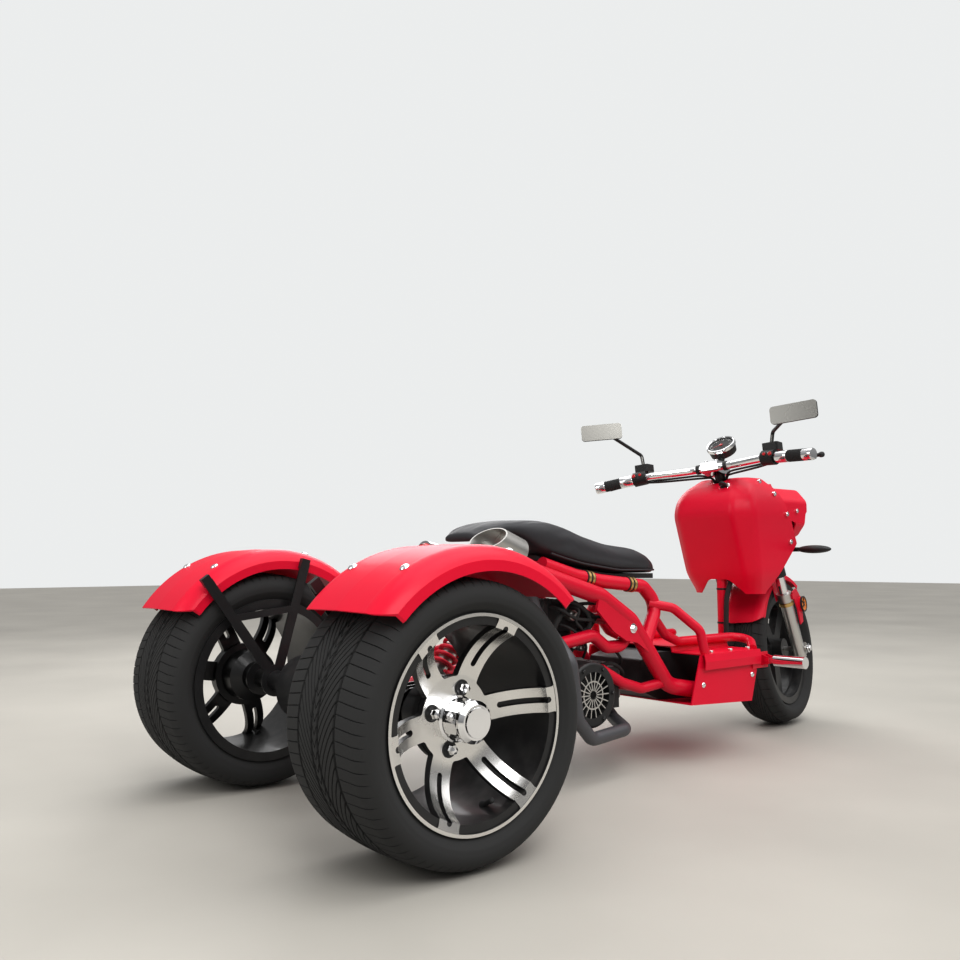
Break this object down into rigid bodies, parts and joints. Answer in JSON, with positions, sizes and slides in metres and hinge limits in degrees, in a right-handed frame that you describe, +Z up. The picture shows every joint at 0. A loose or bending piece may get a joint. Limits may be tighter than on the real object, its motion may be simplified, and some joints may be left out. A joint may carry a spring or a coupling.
{
  "type": "motor trike",
  "caption": "Open-frame motor trike with wide rear wheels under fenders, a step-through floor, a long seat and a steered front fork with handlebar.",
  "frame": {"origin": "bottom centre of the whole trike, on the ground midway along it", "axes": "+X forward, +Y to the rider's left, +Z up"},
  "size_m": [2.2174, 1.076, 0.9949],
  "materials": {
    "red_paint": "satin red paint",
    "tyre_rubber": "black rubber",
    "machined_rim": "machined face, black barrel",
    "black_metal": "satin black",
    "chrome": "polished",
    "alloy": "satin",
    "spring_red": "gloss red",
    "black_plastic": "matt",
    "grip_rubber": "ribbed",
    "seat_vinyl": "grained black vinyl",
    "exhaust_grey": "heat-proof grey"
  },
  "bodies": {
    "chassis": {"frame_rails": "red_paint", "seat_rails": "red_paint", "frame_spine": "red_paint", "frame_gussets": "red_paint", "floor_guards": "red_paint", "cradle_tubes": "red_paint", "floorboard": "red_paint", "floor_skirts": "red_paint", "belly_pan": "red_paint", "fuel_tank": "black_plastic", "peg_brackets": "red_paint", "axle_housing": "black_metal", "shock_absorbers": "alloy", "shock_springs": "spring_red", "swing_arm": "red_paint", "engine": "alloy", "fan_cover": "black_plastic", "drive_case": "black_plastic", "air_box": "black_plastic", "exhaust_pipe": "exhaust_grey", "muffler": "chrome", "rear_fenders": "red_paint", "fender_stays": "black_metal", "tail_lamp": "chrome", "seat_cushion": "seat_vinyl", "seat_pan": "black_plastic", "front_cowl": "red_paint", "front_shield": "red_paint", "headlamp": "chrome", "headlamp_hood": "red_paint", "front_signals": "black_plastic"},
    "steering": {"fork_yoke": "black_metal", "fork_tubes": "chrome", "fork_lowers": "alloy", "front_fender": "red_paint", "reflector_brackets": "red_paint", "brake_caliper": "alloy", "handlebar": "alloy", "grips": "grip_rubber", "switch_housings": "black_plastic", "mirrors": "black_plastic", "gauge": "chrome"},
    "front_wheel": {"front_tyre": "tyre_rubber", "front_rim": "black_metal", "brake_disc": "alloy"},
    "rear_right_wheel": {"rear_right_tyre": "tyre_rubber", "rear_right_rim": "machined_rim", "rear_right_hub": "black_metal", "rear_right_cap": "chrome"},
    "rear_left_wheel": {"rear_left_tyre": "tyre_rubber", "rear_left_rim": "machined_rim", "rear_left_hub": "black_metal", "rear_left_cap": "chrome"},
    "right_peg": {"right_foot_peg": "chrome"},
    "left_peg": {"left_foot_peg": "chrome"}
  },
  "joints": [
    {"name": "steer", "type": "hinge", "parent": "chassis", "child": "steering", "pos_m": [0.83795, 0, 0.22961], "axis": [-0.3827, 0, 0.9239], "range_deg": [-51.4, 24.6]},
    {"name": "front_wheel_spin", "type": "hinge", "parent": "steering", "child": "front_wheel", "pos_m": [0.86941, 0.00811, 0.24263], "axis": [-0.2141, 0.9728, -0.0887], "continuous": true},
    {"name": "rear_right_spin", "type": "hinge", "parent": "chassis", "child": "rear_right_wheel", "pos_m": [-0.84971, -0.4, 0.259], "axis": [0, 1, 0], "continuous": true},
    {"name": "rear_left_spin", "type": "hinge", "parent": "chassis", "child": "rear_left_wheel", "pos_m": [-0.84971, 0.4, 0.259], "axis": [0, 1, 0], "continuous": true},
    {"name": "right_peg_fold", "type": "hinge", "parent": "chassis", "child": "right_peg", "pos_m": [0.49229, -0.228, 0.252], "axis": [-1, 0, 0], "range_deg": [0, 80]},
    {"name": "left_peg_fold", "type": "hinge", "parent": "chassis", "child": "left_peg", "pos_m": [0.49229, 0.228, 0.252], "axis": [1, 0, 0], "range_deg": [0, 80]}
  ]
}
